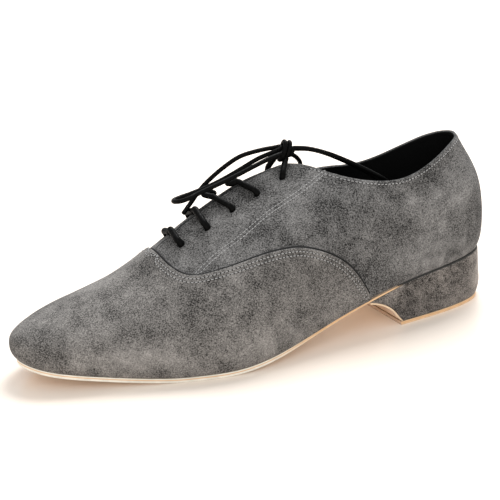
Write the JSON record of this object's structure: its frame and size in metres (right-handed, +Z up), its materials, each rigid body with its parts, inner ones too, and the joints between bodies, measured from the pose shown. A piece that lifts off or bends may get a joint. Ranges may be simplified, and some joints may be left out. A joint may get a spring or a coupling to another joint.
{
  "type": "argentine tango shoe",
  "caption": "Low lace-up oxford dance shoe in grey suede with a slim toe, thin leather sole and low suede-covered heel, for the left foot.",
  "frame": {"origin": "on the floor, under the middle of the shoe's box in plan, measured without the bow", "axes": "+X along the shoe towards the toe, +Y to the wearer's left, which is the outer side of this left shoe, +Z up"},
  "size_m": [0.2906, 0.1012, 0.1102],
  "materials": {
    "suede": "matte napped suede",
    "heel_suede": "matte napped suede",
    "sole_leather": "smooth undyed leather",
    "lining": "matte black lining",
    "lace": "waxed braided cord"
  },
  "bodies": {
    "root": {"outsole": "sole_leather", "heel": "heel_suede", "top_piece": "sole_leather", "breast_cover": "sole_leather", "insole": "lining", "upper": "suede", "vamp": "suede", "tongue": "suede", "lace_bar_1": "lace", "lace_bar_2": "lace", "lace_bar_3": "lace", "lace_bar_4": "lace", "lace_riser_outer": "lace", "lace_riser_inner": "lace", "lace_knot": "lace", "lace_loop_front": "lace", "lace_loop_back": "lace", "lace_end_outer": "lace", "lace_end_inner": "lace"}
  },
  "joints": []
}
